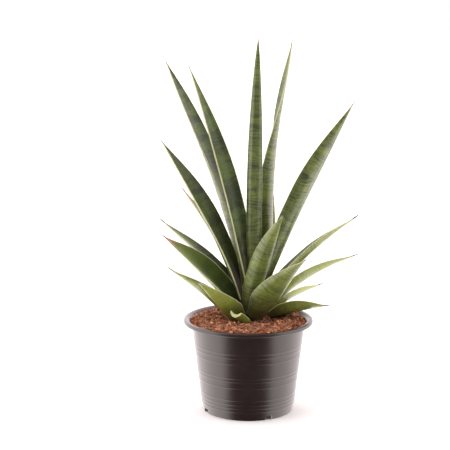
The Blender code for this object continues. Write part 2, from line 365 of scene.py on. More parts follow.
@dataclass(frozen=True)
class CoconutCoir:
    """Moist shredded coconut husk: red-brown pith with paler fibres, and painted shade in the gaps.
    """

    name: str = "coconut_coir"
    dark: str = "#54260F"
    middle: str = "#B86A38"
    light: str = "#F0B888"
    roughness: float = 0.85
    grain_mm: float = 0.7
    damp_patch_mm: float = 6.0

    def material(self) -> bpy.types.Material:
        """Each bit has its own tone from the attribute tone, with damp patches and painted shade in
        the hollows of the grain.

        Returns:
            The coir's material.
        """
        paint = Painter(self.name)
        place = paint.place()
        tone = paint.fact("tone")
        grain = paint.noise(place, 1 / self.grain_mm, 3.0, 0.7)
        patch = paint.noise(place, 1 / self.damp_patch_mm, 2.0)
        colour = paint.mix(paint.stretch(tone, 0.0, 0.55), self.dark, self.middle)
        colour = paint.mix(paint.stretch(tone, 0.5, 1.0), colour, self.light)
        damp = paint.math("MULTIPLY", paint.stretch(patch, 0.4, 0.65), 0.45)
        colour = paint.mix(damp, colour, self.dark)
        # Painted shade: where the grain's bump sinks, the colour darkens toward the dark brown.
        pit_shade = paint.math("MULTIPLY", paint.stretch(grain, 0.55, 0.38), 0.5)
        colour = paint.mix(pit_shade, colour, self.dark)
        rough = paint.math("MULTIPLY_ADD", grain, 0.2, self.roughness - 0.1)
        return paint.finish(
            Base_Color=colour, Roughness=rough, Normal=paint.bump(grain, 0.25)
        )


@dataclass(frozen=True)
class LeafPlace:
    """The sockets that say where a point is on its leaf, in mm, and what the leaf is like."""

    across: bpy.types.NodeSocket
    along: bpy.types.NodeSocket
    edge: bpy.types.NodeSocket
    tip: bpy.types.NodeSocket
    side: bpy.types.NodeSocket
    seed: bpy.types.NodeSocket
    young: bpy.types.NodeSocket
    dry: bpy.types.NodeSocket
    flat: bpy.types.NodeSocket

    @classmethod
    def read(cls, paint: Painter) -> "LeafPlace":
        """Reads the facts that SnakeLeaf gives its points.

        Args:
            paint: the painter of the leaf's material.

        Returns:
            The sockets; flat is the vector of across, along and seed.
        """
        names = ("across_mm", "along_mm", "edge_mm", "tip_mm", "inner_side", "seed", "young", "dry")
        facts = [paint.fact(name) for name in names]
        across, along, seed = facts[0], facts[1], facts[5]
        return cls(*facts, flat=paint.join(across, along, seed))


@dataclass(frozen=True)
class WaxyLeaf:
    """A succulent leaf: green with dark wavy cross bands, a cream margin and a dry awn."""

    # The inner face's greens are darker than the outer's: partly the face's own deeper green, partly
    # painted shade for the channel and the crown, where the inner face sits in shade.
    inner_light: str = "#465427"
    inner_dark: str = "#252A1B"
    inner_young: str = "#587029"
    outer_light: str = "#525E36"
    outer_dark: str = "#333D24"
    outer_young: str = "#8A9836"
    sunlit: str = "#B2BA6C"
    margin: str = "#BDBE90"
    awn: str = "#4A4238"
    dry: str = "#A98E6A"
    # Painted shade of the crown's inside, with a little of the leaf bases' own brown.
    painted_foot_shade: str = "#2C2118"
    ior: float = 1.47
    warp_mm: float = 3.2
    warp_push_mm: float = 2.2
    drift_mm: float = 9.0
    drift_push_mm: float = 14.0
    fine_band_mm: float = 3.4
    fine_patch_mm: float = 5.0
    broad_band_mm: float = 9.0
    line_mm: float = 0.8
    cloud_mm: float = 9.0
    margin_mm: float = 0.34
    foot_mm: float = 34.0
    old_foot_mm: float = 62.0
    young_tip_mm: tuple[float, float] = (70.0, 12.0)
    withered_mm: tuple[float, float] = (36.0, 26.0)
    tan_mm: tuple[float, float] = (11.0, 6.5)
    awn_mm: tuple[float, float] = (7.5, 4.0)
    relief_mm: float = 0.14

    def bands(self, paint: Painter, at: LeafPlace) -> bpy.types.NodeSocket:
        """How dark the cross bands are: broad ones, and fine ones that come and go.

        The fine band is sin(2 pi x moved / fine_band), where moved is the place along the leaf
        pushed to and fro by warp and drift, which makes zigzags.

        Args:
            paint: the material's painter.
            at: the place on the leaf.

        Returns:
            The strength of the bands, from 0 to about 1.
        """
        calm = paint.join(paint.math("MULTIPLY", at.across, 0.35), at.along, at.seed)
        push = paint.noise(at.flat, 1 / self.warp_mm, 2.0, 0.6)
        drift = paint.noise(calm, 1 / self.drift_mm, 1.0)
        moved = paint.math("MULTIPLY_ADD", push, self.warp_push_mm, at.along)
        moved = paint.math("MULTIPLY_ADD", drift, self.drift_push_mm, moved)
        broad_at = paint.join(paint.math("MULTIPLY", at.across, 0.20), moved, at.seed)
        broad = paint.stretch(paint.noise(broad_at, 1 / self.broad_band_mm, 2.0), 0.42, 0.60)
        wave = paint.math("SINE", paint.math("MULTIPLY", moved, 2 * math.pi / self.fine_band_mm))
        fine = paint.stretch(wave, -0.9, 0.9)
        patchy = paint.noise(at.flat, 1 / self.fine_patch_mm, 3.0, 0.6)
        fine = paint.math("MULTIPLY", fine, paint.stretch(patchy, 0.30, 0.65, 0.15, 1.0))
        fine_share = paint.stretch(at.side, 0.0, 1.0, 0.64, 0.30)
        broad_share = paint.stretch(at.side, 0.0, 1.0, 0.38, 0.65)
        band = paint.math("MULTIPLY", broad, broad_share)
        band = paint.math("MULTIPLY_ADD", fine, fine_share, band)
        weaker = paint.stretch(at.young, 0.2, 1.0, 1.0, 0.40)
        return paint.math("MULTIPLY", band, weaker)

    def green(
        self, paint: Painter, at: LeafPlace, band: object, line: object
    ) -> bpy.types.NodeSocket:
        """The banded green of both faces, with slow yellow-green clouds and faint veins.

        Args:
            paint: the material's painter.
            at: the place on the leaf.
            band: how dark the cross bands are.
            line: noise of the long fibres under the skin.

        Returns:
            The colour.
        """
        cloud_at = paint.join(at.across, paint.math("MULTIPLY", at.along, 0.4), at.seed)
        cloud = paint.stretch(paint.noise(cloud_at, 1 / self.cloud_mm, 2.0), 0.45, 0.75)
        # Inner face: darker greens, partly painted shade.
        inner = paint.mix(at.young, self.inner_light, self.inner_young)
        outer = paint.mix(at.young, self.outer_light, self.outer_young)
        inner = paint.mix(paint.math("MULTIPLY", cloud, 0.35), inner, self.inner_young)
        outer = paint.mix(paint.math("MULTIPLY", cloud, 0.30), outer, self.outer_young)
        inner = paint.mix(band, inner, self.inner_dark)
        outer = paint.mix(band, outer, self.outer_dark)
        veins = paint.stretch(line, 0.35, 0.65, 0.86, 1.06)
        veins = paint.join(veins, veins, veins)
        return paint.mix(1.0, paint.mix(at.side, outer, inner), veins, "MULTIPLY")

    def age(self, paint: Painter, at: LeafPlace, colour: object) -> bpy.types.NodeSocket:
        """Young tips paler, painted shade at the feet with a brownish cast, cream margins, and dry
        edges and awns.

        The painted shade at the foot is foot long, and up to old_foot more on a mature leaf's inner
        face, deep in the crown where the shade is darkest; part of its brown is the bases' own
        tinge. Each pair of lengths says how far from the tip a change starts and where it is whole.

        Args:
            paint: the material's painter.
            at: the place on the leaf.
            colour: the green so far.

        Returns:
            The leaf's whole colour.
        """
        lit = paint.stretch(at.tip, *self.young_tip_mm, 0.0, 0.32)
        colour = paint.mix(paint.math("MULTIPLY", lit, at.young), colour, self.sunlit)
        # Painted shade: each leaf's foot darkens toward a brownish shade colour for the shade inside
        # the crown, further up the inner faces of mature leaves.
        old = paint.math("MULTIPLY", at.side, paint.math("SUBTRACT", 1.0, at.young))
        reach = paint.math("MULTIPLY_ADD", old, self.old_foot_mm, self.foot_mm)
        shade = paint.math("MULTIPLY_ADD", at.young, -0.25, 0.80)
        near = paint.stretch(paint.math("DIVIDE", at.along, reach), 1.0, 0.08)
        colour = paint.mix(paint.math("MULTIPLY", near, shade), colour, self.painted_foot_shade)
        uneven = paint.math("MULTIPLY_ADD", paint.noise(at.flat, 1 / 2.5), 0.6, at.edge)
        rim = paint.stretch(uneven, self.margin_mm + 0.55, self.margin_mm + 0.15)
        colour = paint.mix(paint.math("MULTIPLY", rim, 0.92), colour, self.margin)
        worn = paint.math("MULTIPLY_ADD", paint.noise(at.flat, 1 / 3.5, 3.0), 22.0, at.tip)
        worn = paint.math("MULTIPLY_ADD", at.edge, 2.5, worn)
        withered = paint.math("MULTIPLY", paint.stretch(worn, *self.withered_mm), at.dry)
        colour = paint.mix(withered, colour, self.dry)
        colour = paint.mix(paint.stretch(at.tip, *self.tan_mm, 0.0, 0.4), colour, self.dry)
        return paint.mix(paint.stretch(at.tip, *self.awn_mm), colour, self.awn)

    def material(self) -> bpy.types.Material:
        """Bands run across the leaf and lines run along it, in the leaf's own millimetres.

        Returns:
            The skin of every leaf.
        """
        paint = Painter("waxy_snake_leaf")
        at = LeafPlace.read(paint)
        band = self.bands(paint, at)
        line_at = paint.join(at.across, paint.math("MULTIPLY", at.along, 0.012), at.seed)
        line = paint.noise(line_at, 1 / self.line_mm, 2.0, 0.6)
        colour = self.age(paint, at, self.green(paint, at, band, line))
        rough = paint.math("MULTIPLY_ADD", at.side, 0.20, 0.26)
        rough = paint.math("MULTIPLY_ADD", line, 0.10, rough)
        ridge = paint.math("MULTIPLY_ADD", band, -0.25, line)
        relief = paint.bump(ridge, self.relief_mm)
        return paint.finish(Base_Color=colour, Roughness=rough, IOR=self.ior, Normal=relief)


@dataclass(frozen=True)
class CutLeafFlesh:
    """The fibrous pale flesh where a leaf was cut off."""

    fresh: str = "#B9BE86"
    fibre: str = "#8C8A52"
    fibre_mm: float = 0.6

    def material(self) -> bpy.types.Material:
        """Pale flesh with the ends of its fibres.

        Returns:
            The material of a cut face.
        """
        paint = Painter("cut_leaf_flesh")
        grain = paint.noise(paint.place(), 1 / self.fibre_mm, 3.0)
        colour = paint.mix(paint.stretch(grain, 0.45, 0.65), self.fresh, self.fibre)
        return paint.finish(Base_Color=colour, Roughness=0.6, Normal=paint.bump(grain, 0.1))


@dataclass(frozen=True)
class SheathAndCrownShade:
    """The old dry leaf sheaths round the stem: ribbed and papery, dark brown partly of their own and
    partly as painted shade of the crown's middle.
    """

    brown: str = "#3B2A1C"
    dark: str = "#1E1610"
    furrow_mm: float = 1.2

    def material(self) -> bpy.types.Material:
        """Fibres run up the sheath, with dark furrows between them.

        Returns:
            The stem's material.
        """
        paint = Painter("sheath_and_crown_shade")
        parts = add_node(paint.tree, "SeparateXYZ", {0: paint.place()})
        up = paint.math("MULTIPLY", parts.outputs[2], 0.15)
        at = paint.join(parts.outputs[0], parts.outputs[1], up)
        grain = paint.noise(at, 1 / self.furrow_mm, 3.0)
        # The browns are partly the sheaths' own colour and partly painted shade of the crown's
        # middle.
        colour = paint.mix(paint.stretch(grain, 0.4, 0.65), self.brown, self.dark)
        return paint.finish(Base_Color=colour, Roughness=0.7, Normal=paint.bump(grain, 0.2))


@dataclass(frozen=True)
class StudioPaper:
    """Matt pale paper that the plant stands on."""

    tone: str = "#E6E8E7"
    tooth_mm: float = 3.0

    def material(self) -> bpy.types.Material:
        """Plain matt paper with a trace of tooth.

        Returns:
            The table's material.
        """
        paint = Painter("studio_paper")
        tooth = paint.noise(paint.place(), 1 / self.tooth_mm, 2.0)
        relief = paint.bump(tooth, 0.02, 0.3)
        return paint.finish(Base_Color=linear(self.tone), Roughness=0.95, Normal=relief)


# ---------------------------------------------------------------- the pot


@dataclass
class NurseryPot:
    """A tapered, thin-walled pot with a flared collar, a turned-down lip and ring lines."""

    height: float = 85.8
    rim_radius: float = 60.0
    overhang: float = 7.7
    draft: float = 0.12125
    wall: float = 1.2
    collar: float = 5.8
    lip: float = 3.4
    rim_round: float = 1.2
    channel_width: float = 18.6
    channel_rise: float = 4.2
    channel_slope: float = 1.5
    drain_holes: int = 8
    drain_radius: float = 3.0
    drain_turn_deg: float = 12.0
    notches: int = 4
    notch_width: float = 7.0
    notch_height: float = 3.8
    notch_turn_deg: float = 25.0
    ring_shares: tuple[float, ...] = (
        0.095, 0.135, 0.175, 0.225, 0.365, 0.435, 0.475, 0.635, 0.700, 0.745,
    )  # fmt: skip
    ring_relief: float = 0.25
    ring_half_width: float = 0.6
    corner_round: float = 0.45
    sharp_deg: float = 50.0
    segments: int = 192
    rod_sides: int = 24
    finish: MouldedPolypropylene = field(default_factory=MouldedPolypropylene)

    @property
    def neck_radius(self) -> float:
        """Outer radius where the plain wall meets the collar."""
        return self.rim_radius - self.overhang

    def wall_radius(self, z: float) -> float:
        """Outer radius of the plain wall at a height."""
        top = self.height - self.collar
        return self.neck_radius - self.draft * (top - z)

    def inner_profile(self) -> np.ndarray:
        """The inside, from the rim's crest down to the axis.

        The rim's corners are at shares of the overhang and of its rounding.

        Returns:
            Radius and height of each corner.
        """
        top, edge = self.height, self.neck_radius
        level = self.channel_rise + self.wall
        disc = self.wall_radius(0) - self.channel_width
        return np.array(
            [
                (edge + 0.55 * self.overhang, top - 0.1 * self.rim_round),
                (edge + 0.32 * self.overhang, top - 0.9 * self.rim_round),
                (edge - 0.6 * self.wall, top - 0.85 * self.collar),
                (edge - self.wall, top - self.collar - self.wall),
                (self.wall_radius(level) - self.wall, level),
                (disc + self.channel_slope - 0.4 * self.wall, level),
                (disc - 0.4 * self.wall, self.wall),
                (0.0, self.wall),
            ]
        )

    def outer_profile(self) -> np.ndarray:
        """The outside: the raised channel underneath, the wall with its rings, and the rim.

        Returns:
            Radius and height of each corner, from the axis under the base up to the rim.
        """
        top, edge = self.height, self.neck_radius
        foot = self.wall_radius(0)
        disc = foot - self.channel_width
        under = [
            (0.0, 0.0),
            (disc, 0.0),
            (disc + self.channel_slope, self.channel_rise),
            (foot - 1.1 * self.wall, self.channel_rise),
            (foot - self.wall, 0.0),
            (foot - 0.2 * self.wall, 0.0),
            (foot, 0.3 * self.wall),
        ]
        rings = []
        for share in self.ring_shares:
            z, half = share * self.height, self.ring_half_width
            rings += [
                (self.wall_radius(z - half), z - half),
                (self.wall_radius(z) + self.ring_relief, z),
                (self.wall_radius(z + half), z + half),
            ]
        low = top - self.lip
        rim = [
            (edge, top - self.collar),
            (edge + 0.15 * self.overhang, low + 0.1 * self.lip),
            (edge + 0.45 * self.overhang, top - 1.3 * self.wall),
            (self.rim_radius - 1.9 * self.wall, top - 1.1 * self.wall),
            (self.rim_radius - 1.1 * self.wall, low),
            (self.rim_radius - 0.1 * self.wall, low),
            (self.rim_radius, low + 0.3 * self.lip),
            (self.rim_radius - 0.3 * self.rim_round, top - 0.5 * self.rim_round),
            (self.rim_radius - 1.3 * self.rim_round, top),
        ]
        return np.array(under + rings + rim)

    @staticmethod
    def soften(profile: np.ndarray, reach: float) -> np.ndarray:
        """Rounds each corner of a profile.

        A corner p becomes a point on either side, at reach or 0.4 of the way to its neighbour,
        and a quarter of each plus half of p between them.

        Args:
            profile: radius and height of each corner.
            reach: furthest that a rounding reaches from its corner, in mm.

        Returns:
            The longer profile with the same two ends.
        """
        p = profile[1:-1]
        before, after = profile[:-2] - p, profile[2:] - p
        far = np.linalg.norm(before, axis=1, keepdims=True)
        a = p + before / far * np.minimum(reach, 0.4 * far)
        far = np.linalg.norm(after, axis=1, keepdims=True)
        b = p + after / far * np.minimum(reach, 0.4 * far)
        rounded = np.stack([a, 0.25 * a + 0.5 * p + 0.25 * b, b], axis=1).reshape(-1, 2)
        return np.concatenate([profile[:1], rounded, profile[-1:]])

    def turned(self, profile: np.ndarray) -> bpy.types.Object:
        """Turns a profile that starts and ends on the axis into a closed shell.

        Args:
            profile: radius and height of each corner.

        Returns:
            The shell, before its holes are cut.
        """
        rings = profile[1:-1]
        angle = np.arange(self.segments) * 2 * math.pi / self.segments
        x = rings[:, :1] * np.cos(angle)
        y = rings[:, :1] * np.sin(angle)
        z = np.repeat(rings[:, 1:], self.segments, axis=1)
        points = np.stack([x, y, z], axis=-1).reshape(-1, 3)
        poles = [[0, 0, profile[0][1]], [0, 0, profile[-1][1]]]
        faces = capped_tube(len(rings), self.segments)
        points = np.concatenate([points, poles])
        return make_piece("pot_blank", points, faces, sharp_deg=self.sharp_deg)

    def holes(self) -> list[tuple[np.ndarray, float, float]]:
        """Rods for the drain holes in the channel and slabs for the notches in the foot.

        Returns:
            The outline seen from above, the bottom and the top of each.
        """
        foot = self.wall_radius(0)
        circle = (foot - self.channel_width + self.channel_slope + foot - self.wall) / 2
        angle = np.arange(self.rod_sides) * 2 * math.pi / self.rod_sides
        rod = np.stack([np.cos(angle), np.sin(angle)], axis=1) * self.drain_radius
        near, far = foot - 2.5 * self.wall, foot + 2 * self.wall
        half = self.notch_width / 2
        slab = np.array([(near, -half), (far, -half), (far, half), (near, half)])
        low, high = self.channel_rise - self.wall, self.channel_rise + 2 * self.wall
        shapes = []
        for k in range(self.drain_holes):
            turn = math.radians(self.drain_turn_deg) + 2 * math.pi * k / self.drain_holes
            centre = circle * np.array([math.cos(turn), math.sin(turn)])
            shapes.append((rod + centre, low, high))
        for k in range(self.notches):
            turn = math.radians(self.notch_turn_deg) + 2 * math.pi * k / self.notches
            c, s = math.cos(turn), math.sin(turn)
            shapes.append((slab @ np.array([[c, s], [-s, c]]), -self.wall, self.notch_height))
        return shapes

    def cutters(self) -> bpy.types.Object:
        """One mesh of upright prisms for all the holes and notches.

        Returns:
            The object that the pot is cut with.
        """
        points, faces, start = [], [], 0
        for outline, low, high in self.holes():
            n = len(outline)
            for z in (low, high):
                points.append(np.column_stack([outline, np.full(n, z)]))
            faces.append(start + grid_quads(2, n))
            faces.append(start + np.arange(n)[::-1][None])
            faces.append(start + n + np.arange(n)[None])
            start += 2 * n
        return make_piece("pot_cutters", np.concatenate(points), faces)

    def build(self) -> bpy.types.Object:
        """The finished pot, with its holes and notches cut through.

        Returns:
            The pot, which stands for nursery_pot.
        """
        outline = np.concatenate([self.outer_profile(), self.inner_profile()])
        blank = self.turned(self.soften(outline, self.corner_round))
        cutter = self.cutters()
        cut = blank.modifiers.new("holes", "BOOLEAN")
        cut.operation, cut.solver, cut.object = "DIFFERENCE", "EXACT", cutter
        seen = blank.evaluated_get(bpy.context.evaluated_depsgraph_get())
        mesh = bpy.data.meshes.new_from_object(seen)
        mesh.name = "moulded_pot"
        mesh.shade_smooth()
        mesh.set_sharp_from_angle(angle=math.radians(self.sharp_deg))
        bpy.data.objects.remove(blank)
        bpy.data.objects.remove(cutter)
        pot = bpy.data.objects.new("moulded_pot", mesh)
        bpy.context.scene.collection.objects.link(pot)
        mesh.materials.clear()
        mesh.materials.append(self.finish.material())
        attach(pot, "root")
        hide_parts("nursery_pot")
        return pot


# ---------------------------------------------------------------- the coir


@dataclass
class CoirBed:
    """Shredded husk that fills the pot: a rough bed, loose chips on it and long fibres."""

    pot: NurseryPot
    below_rim: float = 2.4
    gap: float = 0.15
    dish_depth: float = 0.6
    mound: float = 1.6
    dish_radius: float = 27.0
    crown: tuple[float, float] = (3.5, 6.0)
    relief: float = 0.95
    lump_mm: float = 7.0
    lump_waves: int = 60
    bare_radius: float = 13.0
    chips: int = 3000
    fibres: int = 1500
    fibre_steps: int = 8
    segments: int = 160
    rings: int = 64
    seed: int = 41

    def level(self) -> float:
        """Height of the coir at the wall."""
        return self.pot.height - self.below_rim

    def edge(self) -> float:
        """Radius where the coir meets the inside of the collar."""
        inside = self.pot.inner_profile()[::-1]
        return float(np.interp(self.level(), inside[:, 1], inside[:, 0])) - self.gap

    def height(self, x: np.ndarray, y: np.ndarray) -> np.ndarray:
        """Height of the bed: flat at the wall, a low mound, a dish at the crown, and lumps.

        Args:
            x: places across the pot in mm.
            y: places from front to back in mm.

        Returns:
            The height at each place, in mm.
        """
        away = np.hypot(x - self.crown[0], y - self.crown[1])
        rise = smooth((away - self.dish_radius) / (0.2 * self.dish_radius))
        fall = np.clip((np.hypot(x, y) / self.pot.neck_radius - 0.80) / 0.18, 0, 1)
        base = self.level() - self.dish_depth
        plain = base + (self.dish_depth + self.mound * (1 - fall)) * rise
        rng = np.random.default_rng(self.seed)
        lumps = ripples(x, y, rng, self.lump_waves, self.lump_mm)
        fades = smooth((self.edge() - np.hypot(x, y)) / 1.5)
        return plain + self.relief * lumps * fades

    def bed(self) -> bpy.types.Object:
        """The closed plug: a rough top on a polar grid, and sides that follow the pot.

        Returns:
            The bed.
        """
        inside = self.pot.inner_profile()[::-1]
        lower = inside[inside[:, 1] < self.level()] + (-self.gap, self.gap)
        angle = np.arange(self.segments) * 2 * math.pi / self.segments
        radius = self.edge() * (1 - np.arange(self.rings) / self.rings)
        r = np.concatenate([lower[1:, 0], radius])[:, None]
        x, y = r * np.cos(angle), r * np.sin(angle)
        top = self.height(x[len(lower) - 1 :], y[len(lower) - 1 :])
        z = np.concatenate([np.repeat(lower[1:, 1:], self.segments, axis=1), top])
        points = np.stack([x, y, z], axis=-1).reshape(-1, 3)
        middle = float(self.height(np.zeros(1), np.zeros(1))[0])
        points = np.concatenate([points, [[0, 0, lower[0, 1]], [0, 0, middle]]])
        faces = capped_tube(len(r), self.segments)
        rng = np.random.default_rng(self.seed + 1)
        tone = 0.12 + 0.25 * rng.random(len(points))
        return make_piece("coir_bed", points, faces, {"tone": tone}, sharp_deg=180)

    def scatter(
        self, count: int, rng: np.random.Generator, spare: float
    ) -> tuple[np.ndarray, np.ndarray]:
        """Random places on the bed, even over its area and clear of the crown's middle.

        Args:
            count: how many places.
            rng: source of the places.
            spare: how far they stay from the edge, in mm.

        Returns:
            The x and the y of each place.
        """
        drawn = 4 * count
        r = (self.edge() - spare) * np.sqrt(rng.random(drawn))
        turn = rng.uniform(0, 2 * math.pi, drawn)
        x, y = r * np.cos(turn), r * np.sin(turn)
        free = np.hypot(x - self.crown[0], (y - self.crown[1]) * 0.9) > self.bare_radius
        return x[free][:count], y[free][:count]

    def loose_chips(self) -> bpy.types.Object:
        """Chips: boxes with shaken corners, tipped a little, that lie on the bed or half in it.

        A corner is half the size x its signs, rolled, sloped, turned and moved to the centre.

        Returns:
            All the chips in one mesh.
        """
        rng = np.random.default_rng(self.seed + 2)
        x, y = self.scatter(self.chips, rng, 1.2)
        count = len(x)
        square = ((-1, -1), (1, -1), (1, 1), (-1, 1))
        corner = np.array([(a, b, c) for c in (-1, 1) for a, b in square], float)
        # Half the length, width and thickness of each chip.
        length = rng.gamma(3.0, 0.50, count).clip(0.5, 3.6)
        width = rng.uniform(0.35, 1.25, count)
        thickness = rng.uniform(0.2, 0.7, count)
        size = np.stack([length, width, thickness], axis=1)
        shape = corner[None] * size[:, None] * rng.uniform(0.55, 1.0, (count, 8, 1))
        shape += rng.normal(0, 0.10, (count, 8, 3))
        slope = rng.normal(0, 0.35, count)[:, None]
        roll = rng.normal(0, 0.45, count)[:, None]
        turn = rng.uniform(0, 2 * math.pi, count)[:, None]
        sx, sy, sz = shape[..., 0], shape[..., 1], shape[..., 2]
        sy, sz = spin(sy, sz, roll)
        sx, sz = spin(sx, sz, slope)
        sx, sy = spin(sx, sy, turn)
        z = self.height(x, y) + rng.uniform(-0.2, 0.75, count)
        points = np.stack([x[:, None] + sx, y[:, None] + sy, z[:, None] + sz], axis=-1)
        points = points.reshape(-1, 3)
        box = [(3, 2, 1, 0), (4, 5, 6, 7), (0, 1, 5, 4), (1, 2, 6, 5), (2, 3, 7, 6), (3, 0, 4, 7)]
        faces = (np.arange(count)[:, None, None] * 8 + np.array(box)).reshape(-1, 4)
        tone = np.repeat(rng.beta(1.5, 1.3, count), 8)
        return make_piece("coir_chips", points, [faces], {"tone": tone}, sharp_deg=40)

    def loose_fibres(self) -> bpy.types.Object:
        """Fibres: thin square tubes along arcs that lie on the bed and lift at the middle.

        A point is start + length x share along a heading that turns by curl x share.

        Returns:
            All the fibres in one mesh.
        """
        rng = np.random.default_rng(self.seed + 3)
        x, y = self.scatter(self.fibres, rng, 3.0)
        count, steps = len(x), self.fibre_steps
        length = rng.gamma(3.0, 2.4, count).clip(3, 20)
        heading = rng.uniform(0, 2 * math.pi, count)
        curl = rng.normal(0, 1.3, count)
        share = np.linspace(0, 1, steps)
        way = heading[:, None] + curl[:, None] * share
        step = (length / (steps - 1))[:, None]
        dx = np.cumsum(np.cos(way) * step, axis=1)
        dy = np.cumsum(np.sin(way) * step, axis=1)
        px, py = x[:, None] + dx - dx[:, -1:] / 2, y[:, None] + dy - dy[:, -1:] / 2
        # A fibre that would cross the wall is pulled in to 1 mm from the bed's edge.
        pull = np.minimum(1, (self.edge() - 1.0) / np.maximum(np.hypot(px, py), 1e-6))
        px, py = px * pull, py * pull
        lift = rng.gamma(2.0, 0.45, count)[:, None] * np.sin(math.pi * share)
        pz = self.height(px, py) + 0.35 + lift
        thick = rng.uniform(0.10, 0.20, count)[:, None] * (1 - 0.5 * share)
        side = np.stack([-np.sin(way), np.cos(way), np.zeros_like(way)], axis=-1)
        spine = np.stack([px, py, pz], axis=-1)
        up = np.array([0.0, 0.0, 1.0])
        around = (side, up, -side, -up)
        points = np.stack([spine + thick[..., None] * d for d in around], axis=2)
        points = points.reshape(-1, 3)
        per = steps * len(around)
        starts = np.arange(count)[:, None, None] * per
        tube = (starts + grid_quads(steps, len(around))[:, ::-1]).reshape(-1, 4)
        caps = np.array([(0, 1, 2, 3), (per - 1, per - 2, per - 3, per - 4)])
        ends = (starts + caps).reshape(-1, 4)
        tone = np.repeat(rng.uniform(0.35, 1.0, count), per)
        return make_piece("coir_fibres", points, [tube, ends], {"tone": tone}, sharp_deg=180)

    def build(self) -> list[bpy.types.Object]:
        """Bed, chips and fibres, dressed in coir.

        Returns:
            The three pieces; the bed stands for coir_substrate.
        """
        husk = CoconutCoir().material()
        hair = CoconutCoir("coir_fibre", "#6E3F28", "#B0765A", "#D9AE96", 0.7).material()
        pieces = [self.bed(), self.loose_chips(), self.loose_fibres()]
        for piece, material in zip(pieces, (husk, husk, hair)):
            piece.data.materials.append(material)
            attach(piece, "root")
        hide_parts("coir_substrate")
        return pieces


# ---------------------------------------------------------------- the leaves


class LeafEnd(Enum):
    """How a leaf ends."""

    AWN = "a dry point"
    CUT = "cut square off"


@dataclass(frozen=True)
class BladeForm:
    """How hollow and how thick a blade is, each at four shares of its length."""

    hollow_deg: tuple[float, float, float, float]
    thick: tuple[float, float, float, float]
    hollow_at: tuple[float, float, float, float] = (0.0, 0.3, 0.7, 1.0)
    thick_at: tuple[float, float, float, float] = (0.0, 0.15, 0.5, 1.0)


BLADE_FORMS = {
    LeafEnd.AWN: BladeForm((58.0, 58.0, 50.0, 35.0), (1.8, 2.8, 2.2, 0.15)),
    LeafEnd.CUT: BladeForm((75.0, 75.0, 75.0, 75.0), (1.8, 2.1, 2.2, 2.2)),
}


def hash_text(text: str) -> int:
    """A steady whole number from a name: each letter's code is added to 131 times the rest.

    Args:
        text: the name.

    Returns:
        A number from 0 to 2147483646.
    """
    total = 7
    for letter in text:
        total = (total * 131 + ord(letter)) % 2147483647
    return total


